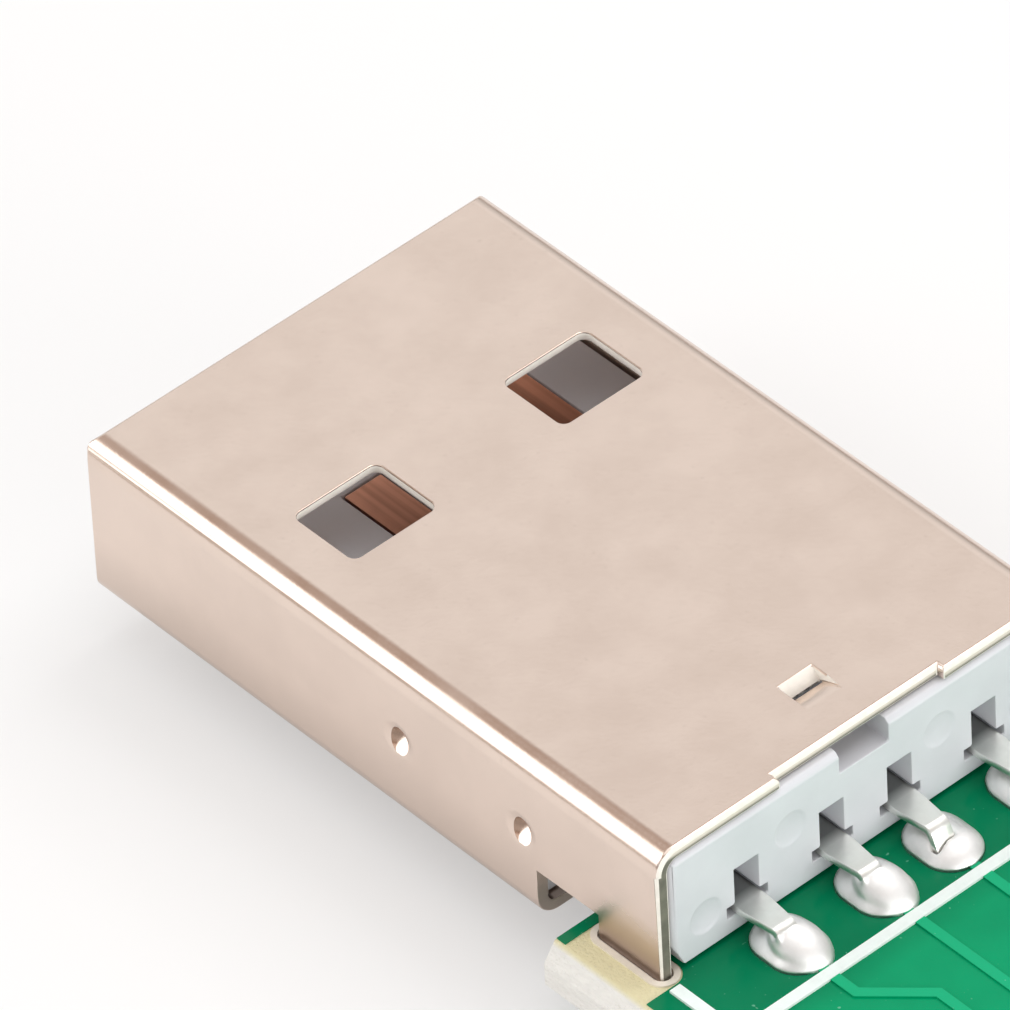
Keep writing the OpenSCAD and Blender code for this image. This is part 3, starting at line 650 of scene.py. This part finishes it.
def is_rolled(edge):
    """Whether an edge of the shell is on the outside of its rear end or on the inside of a window."""
    middle = edge_middle(edge)
    depth = SHELL_HIGH.z - middle.z
    skin = 0.05 * MM
    behind = all(corner.co.y < SHELL_LOW.y + 0.25 * MM for corner in edge.verts)
    outside = depth < skin or abs(middle.x) > SHELL_HIGH.x - skin
    in_fold = abs(middle.x) > SHELL_HIGH.x - FOLD and depth < FOLD
    if in_fold:
        from_axis = Vector((abs(middle.x) - SHELL_HIGH.x + FOLD, FOLD - depth))
        outside = from_axis.length > 0.5 * MM
    above_board = max(corner.co.z for corner in edge.verts) > BOARD_HIGH.z + 0.1 * MM
    under_sheet = abs(depth - SHEET) < 0.01 * MM and abs(middle.x) < SHELL_HIGH.x - MM
    in_window = under_sheet and middle.y > SHELL_LOW.y + 10 * MM
    return (behind and outside and above_board) or in_window


def is_sheared(face):
    """Whether a face of the shell is a bright cut wall of an opening in its top, or the lance's front lip,
    which gets the bright edge colour as a painted highlight.
    """
    depth = SHELL_HIGH.z - face.center.z
    from_rear = face.center.y - SHELL_LOW.y
    in_top = depth < FOLD and abs(face.center.x) < SHELL_HIGH.x - 0.8 * MM
    wall = abs(face.normal.z) < 0.3 and 0.5 * MM < from_rear < 17 * MM
    # Painted highlight: the lance's plated front lip is given the bright edge colour.
    lip = face.normal.y < -0.5 and abs(face.center.x) < 0.7 * MM and MM < from_rear < 3 * MM
    return in_top and (wall or lip)


def is_sheet_end(face):
    """Whether a face of the shell belongs to its cut end behind the plug."""
    return face.center.y < SHELL_LOW.y + SHEET and face.normal.y < -0.45


class FinishShell(bpy.types.Operator):
    """Round the shell's cut edges and give it a satin plating"""
    bl_idname = "usb_board.shell"
    bl_label = "Finish Shell"

    def execute(self, context):
        settings = context.scene.usb_plug
        shape = merged_copy("plug_shell")
        rolled = [edge for edge in sharp_edges(shape) if is_rolled(edge)]
        soften(shape, rolled, settings.rolled, segments=3)
        sheared = [edge for edge in sharp_edges(shape) if not is_pressed(edge)]
        soften(shape, sheared, settings.edge, segments=2)
        piece = finish_piece(shape, "folded_sheet", shell_material(settings), ["plug_shell"])
        bright, end_shade = 1, 2
        piece.data.materials.append(sheared_material(settings))
        piece.data.materials.append(cut_material(settings))
        for face in piece.data.polygons:
            if is_sheared(face):
                face.material_index = bright
            elif is_sheet_end(face):
                # Painted light: on the cut end, the rolled faces get the bright edge colour as a painted
                # highlight and the flat face gets the painted shade.
                face.material_index = end_shade if face.normal.y < -0.97 else bright
        return {"FINISHED"}


class FinishInsulator(bpy.types.Operator):
    """Round the insulator's edges and give it a moulded surface"""
    bl_idname = "usb_board.insulator"
    bl_label = "Finish Insulator"

    def execute(self, context):
        settings = context.scene.usb_plug
        shape = merged_copy("plug_insulator")
        soften(shape, sharp_edges(shape), settings.plastic_edge, segments=2)
        finish_piece(shape, "moulded_insulator", insulator_material(settings),
                     ["plug_insulator"])
        return {"FINISHED"}


class FinishContacts(bpy.types.Operator):
    """Round the contacts' edges and tin their tails"""
    bl_idname = "usb_board.contacts"
    bl_label = "Finish Contacts"

    def execute(self, context):
        settings = context.scene.usb_plug
        material = contact_material(settings)
        for line in LINES:
            node = "contact_" + line
            shape = merged_copy(node)
            soften(shape, sharp_edges(shape, least=50.0), settings.contact_edge, segments=2)
            finish_piece(shape, "formed_" + node, material, [node])
        return {"FINISHED"}


class FinishLaminate(bpy.types.Operator):
    """Wear the board's bare edges"""
    bl_idname = "usb_board.laminate"
    bl_label = "Finish Laminate"

    def execute(self, context):
        settings = context.scene.usb_board
        shape = merged_copy("printed_board")
        soften(shape, sharp_edges(shape), settings.laminate_edge, segments=2)
        finish_piece(shape, "scored_board", laminate_material(settings), ["printed_board"])
        return {"FINISHED"}


class FinishMasks(bpy.types.Operator):
    """Give the coating on both faces its gloss"""
    bl_idname = "usb_board.masks"
    bl_label = "Finish Solder Masks"

    def execute(self, context):
        material = mask_material(context.scene.usb_board)
        for node in ("top_solder_mask", "bottom_solder_mask"):
            dress(node, material)
        return {"FINISHED"}


class FinishPrint(bpy.types.Operator):
    """Give the printed outline its ink"""
    bl_idname = "usb_board.print"
    bl_label = "Finish Print"

    def execute(self, context):
        dress("silkscreen_outline", print_material(context.scene.usb_board))
        return {"FINISHED"}


class FinishCopper(bpy.types.Operator):
    """Give the traces, pads and plated holes their metal"""
    bl_idname = "usb_board.copper"
    bl_label = "Finish Copper"

    def execute(self, context):
        settings = context.scene.usb_board
        copper = metal_material("Copper Trace", tuple(settings.copper), roughness=0.3, patch_size=0.4 * MM,
                                grain_size=0.1 * MM, depth=0.004 * MM)
        plating = metal_material("Pad Plating", tuple(settings.plating), roughness=0.28, patch_size=0.3 * MM,
                                 grain_size=0.08 * MM, depth=0.006 * MM)
        tinned = metal_material("Tinned Pad", tuple(settings.solder), roughness=0.3, patch_size=0.3 * MM,
                                grain_size=0.08 * MM, depth=0.006 * MM)
        ring = ring_material(settings)
        for line in LINES:
            dress("trace_" + line, copper)
        for node in ["header_hole_" + line for line in LINES]:
            finish_piece(merged_copy(node), "plated_" + node, plating, [node])
        for node in ["tab_slot_" + side for side in SIDES]:
            finish_piece(merged_copy(node), "plated_" + node, ring, [node])
        for node in ["pin_hole_" + line for line in LINES]:
            finish_piece(merged_copy(node), "tinned_" + node, tinned, [node])
        return {"FINISHED"}


class FinishSolder(bpy.types.Operator):
    """Round the solder joints and give them a bright skin"""
    bl_idname = "usb_board.solder"
    bl_label = "Finish Solder"

    def execute(self, context):
        settings = context.scene.usb_board
        solder = metal_material("Bright Solder", tuple(settings.solder), roughness=0.45, patch_size=0.5 * MM,
                                grain_size=0.3 * MM, depth=0.015 * MM)
        for line in LINES:
            node = "pin_solder_" + line
            shape = pin_joint(line)
            bmesh.ops.scale(shape, vec=(SPREAD, SPREAD, 1), space=Matrix.Translation(-box_middle(node)),
                            verts=shape.verts)
            shape = flowed(shape, settings.solder_cell, PIN_PASSES)
            finish_piece(shape, "flowed_" + node, solder, [node], still_sharp=60.0)
        for node in ["tab_solder_" + side for side in SIDES]:
            shape = flowed(merged_copy(node), settings.solder_cell, TAB_PASSES)
            finish_piece(shape, "flowed_" + node, solder, [node], still_sharp=60.0)
        return {"FINISHED"}


# Stage

def floor_material(settings):
    """Pale floor that the camera and mirrors see nearly white, with the object's shadow on it and painted
    shade where its white share fades near the object.
    """
    material = bpy.data.materials.new("Pale Floor")
    material.use_nodes = True
    tree = material.node_tree
    tree.nodes.clear()
    low, high = cad_box
    footprint = (SHELL_HIGH.x, (high.y - low.y) / 2, MM)
    away, _ = place(tree)
    for operation, second in (("SUBTRACT", (low + high) / 2), ("ABSOLUTE", (0, 0, 0)),
                              ("SUBTRACT", footprint), ("MAXIMUM", (0, 0, 0))):
        away = add(tree, "ShaderNodeVectorMath", {0: away, 1: second}, operation=operation).outputs["Vector"]
    away = add(tree, "ShaderNodeVectorMath", {0: away}, operation="LENGTH").outputs["Value"]
    rays = tree.nodes.new("ShaderNodeLightPath").outputs
    # Painted shade: the white that the camera and mirrors see fades out near the object's footprint, so the
    # floor and its reflection in the shell darken around and under the object.
    seen_share = remap(tree, away, 0, MM, 0.04, settings.floor_glow)
    seen = arithmetic(tree, "MULTIPLY", rays["Is Camera Ray"], seen_share)
    mirrored_share = remap(tree, away, 1.5 * MM, 5 * MM, 0.0, settings.floor_glow)
    mirrored = arithmetic(tree, "MAXIMUM", rays["Is Glossy Ray"], rays["Is Transmission Ray"])
    mirrored = arithmetic(tree, "MULTIPLY", mirrored, mirrored_share)
    share = arithmetic(tree, "MAXIMUM", seen, mirrored)
    matt = add(tree, "ShaderNodeBsdfDiffuse", {"Color": tuple(settings.floor)})
    white = add(tree, "ShaderNodeEmission", {"Color": (1, 1, 1), "Strength": 1.0})
    blend = add(tree, "ShaderNodeMixShader", {0: share, 1: matt.outputs[0], 2: white.outputs[0]})
    add(tree, "ShaderNodeOutputMaterial", {"Surface": blend.outputs[0]})
    return material


def build_floor(settings):
    """Flat floor just under the part."""
    shape = bmesh.new()
    bmesh.ops.create_grid(shape, x_segments=1, y_segments=1, size=1.5,
                          matrix=Matrix.Translation((0, 0, -0.01 * MM)))
    mesh = bpy.data.meshes.new("floor")
    shape.to_mesh(mesh)
    shape.free()
    mesh.materials.append(floor_material(settings))
    floor = bpy.data.objects.new("floor", mesh)
    bpy.context.scene.collection.objects.link(floor)


def build_room(settings):
    """World with pale walls between two dim bands, a ceiling, and white behind the floor."""
    world = bpy.data.worlds.new("Studio Room")
    bpy.context.scene.world = world
    world.use_nodes = True
    tree = world.node_tree
    direction = tree.nodes.new("ShaderNodeTexCoord").outputs["Generated"]
    _, back, height = add(tree, "ShaderNodeSeparateXYZ", {"Vector": direction}).outputs
    foot, low, high, wall_end, joint_start, joint_end, ceiling = (
        math.sin(math.radians(angle)) for angle in (5, 8, 28, 46, 52, 57, 64))
    near = tint((1, 1, 1), settings.near_wall)
    far = tint((1, 1, 1), settings.horizon)
    overhead = tint((1, 1, 1), settings.zenith)
    wall = mix_colours(tree, remap(tree, back, -0.4, 0.2), near, far)
    dimmed = mix_colours(tree, settings.low_wall, (0, 0, 0), wall)
    wall = mix_colours(tree, remap(tree, height, low, high), dimmed, wall)
    wall = mix_colours(tree, remap(tree, height, foot, low), tuple(settings.skirting), wall)
    over_wall = mix_colours(tree, remap(tree, height, wall_end, joint_start), wall, tuple(settings.joint))
    room = mix_colours(tree, remap(tree, height, joint_end, ceiling), over_wall, overhead)
    seen = tree.nodes.new("ShaderNodeLightPath").outputs["Is Camera Ray"]
    background = tree.nodes["Background"].inputs
    put(tree, background["Color"], mix_colours(tree, seen, room, (1, 1, 1)))
    put(tree, background["Strength"], 1.0)


def build_panel(name, azimuth, elevation, width, height, distance, brightness):
    """Soft panel lamp that faces the object from a direction given in degrees from +Y to +X."""
    turn = math.radians(azimuth)
    climb = math.radians(elevation)
    away = Vector((math.sin(turn) * math.cos(climb), math.cos(turn) * math.cos(climb), math.sin(climb)))
    lamp = bpy.data.lights.new(name, "AREA")
    lamp.shape = "RECTANGLE"
    lamp.size = width
    lamp.size_y = height
    lamp.energy = brightness * math.pi * width * height
    panel = bpy.data.objects.new(name, lamp)
    panel.location = away * distance
    panel.rotation_euler = away.to_track_quat("Z", "Y").to_euler()
    bpy.context.scene.collection.objects.link(panel)


def build_camera(settings):
    """Camera turned to its aim and then moved aside and above it."""
    aim = Vector((0, 7.4, 3.65)) * MM
    aside = -1.694 * MM
    above = 2.019 * MM
    back = Vector((math.sin(settings.azimuth) * math.cos(settings.elevation),
                   -math.cos(settings.azimuth) * math.cos(settings.elevation),
                   math.sin(settings.elevation)))
    level_right = (-back).cross(Vector((0, 0, 1))).normalized()
    level_up = level_right.cross(-back)
    right = math.cos(settings.roll) * level_right + math.sin(settings.roll) * level_up
    up = math.cos(settings.roll) * level_up - math.sin(settings.roll) * level_right
    camera = bpy.data.objects.new("camera", bpy.data.cameras.new("camera"))
    camera.data.sensor_width = 36
    camera.data.lens = settings.lens
    turn = Matrix((right, up, back)).transposed().to_4x4()
    place_at = aim + back * settings.distance + right * aside + up * above
    camera.matrix_world = Matrix.Translation(place_at) @ turn
    bpy.context.scene.collection.objects.link(camera)
    bpy.context.scene.camera = camera


class BuildStage(bpy.types.Operator):
    """Set the object on a pale floor, with soft light and the camera"""
    bl_idname = "usb_board.stage"
    bl_label = "Build Stage"

    def execute(self, context):
        settings = context.scene.usb_studio
        build_floor(settings)
        build_room(settings)
        build_panel("back panel", azimuth=-46, elevation=30, width=0.5, height=0.46, distance=0.6,
                    brightness=settings.key)
        build_panel("right panel", azimuth=100, elevation=60, width=0.4, height=0.4, distance=0.7,
                    brightness=settings.fill)
        build_panel("front panel", azimuth=176, elevation=10, width=0.7, height=0.2, distance=0.6,
                    brightness=settings.front)
        build_camera(settings)
        context.scene.view_settings.view_transform = "Standard"
        return {"FINISHED"}


STEPS = (FinishShell, FinishInsulator, FinishContacts, FinishLaminate, FinishMasks, FinishPrint,
         FinishCopper, FinishSolder, BuildStage)


class BoardPanel(bpy.types.Panel):
    """Lists the steps that finish the board"""
    bl_idname = "VIEW3D_PT_usb_board"
    bl_label = "USB Board"
    bl_space_type = "VIEW_3D"
    bl_region_type = "UI"
    bl_category = "USB Board"

    def draw(self, context):
        column = self.layout.column()
        for step in STEPS:
            column.operator(step.bl_idname)
        for settings in (context.scene.usb_plug, context.scene.usb_board, context.scene.usb_studio):
            box = self.layout.box()
            for name in settings.__annotations__:
                box.prop(settings, name)


GROUPS = {"usb_plug": PlugSettings, "usb_board": BoardSettings, "usb_studio": StudioSettings}


def register():
    """Adds the classes and settings to Blender."""
    for entry in (*GROUPS.values(), *STEPS, BoardPanel):
        bpy.utils.register_class(entry)
    for name, group in GROUPS.items():
        setattr(bpy.types.Scene, name, PointerProperty(type=group))


def unregister():
    """Takes the settings and classes out again."""
    for name in GROUPS:
        delattr(bpy.types.Scene, name)
    for entry in (BoardPanel, *reversed(STEPS), *GROUPS.values()):
        bpy.utils.unregister_class(entry)


def main():
    """Runs every step in order."""
    register()
    for step in STEPS:
        group, name = step.bl_idname.split(".")
        getattr(getattr(bpy.ops, group), name)()


if __name__ == "__main__":
    main()
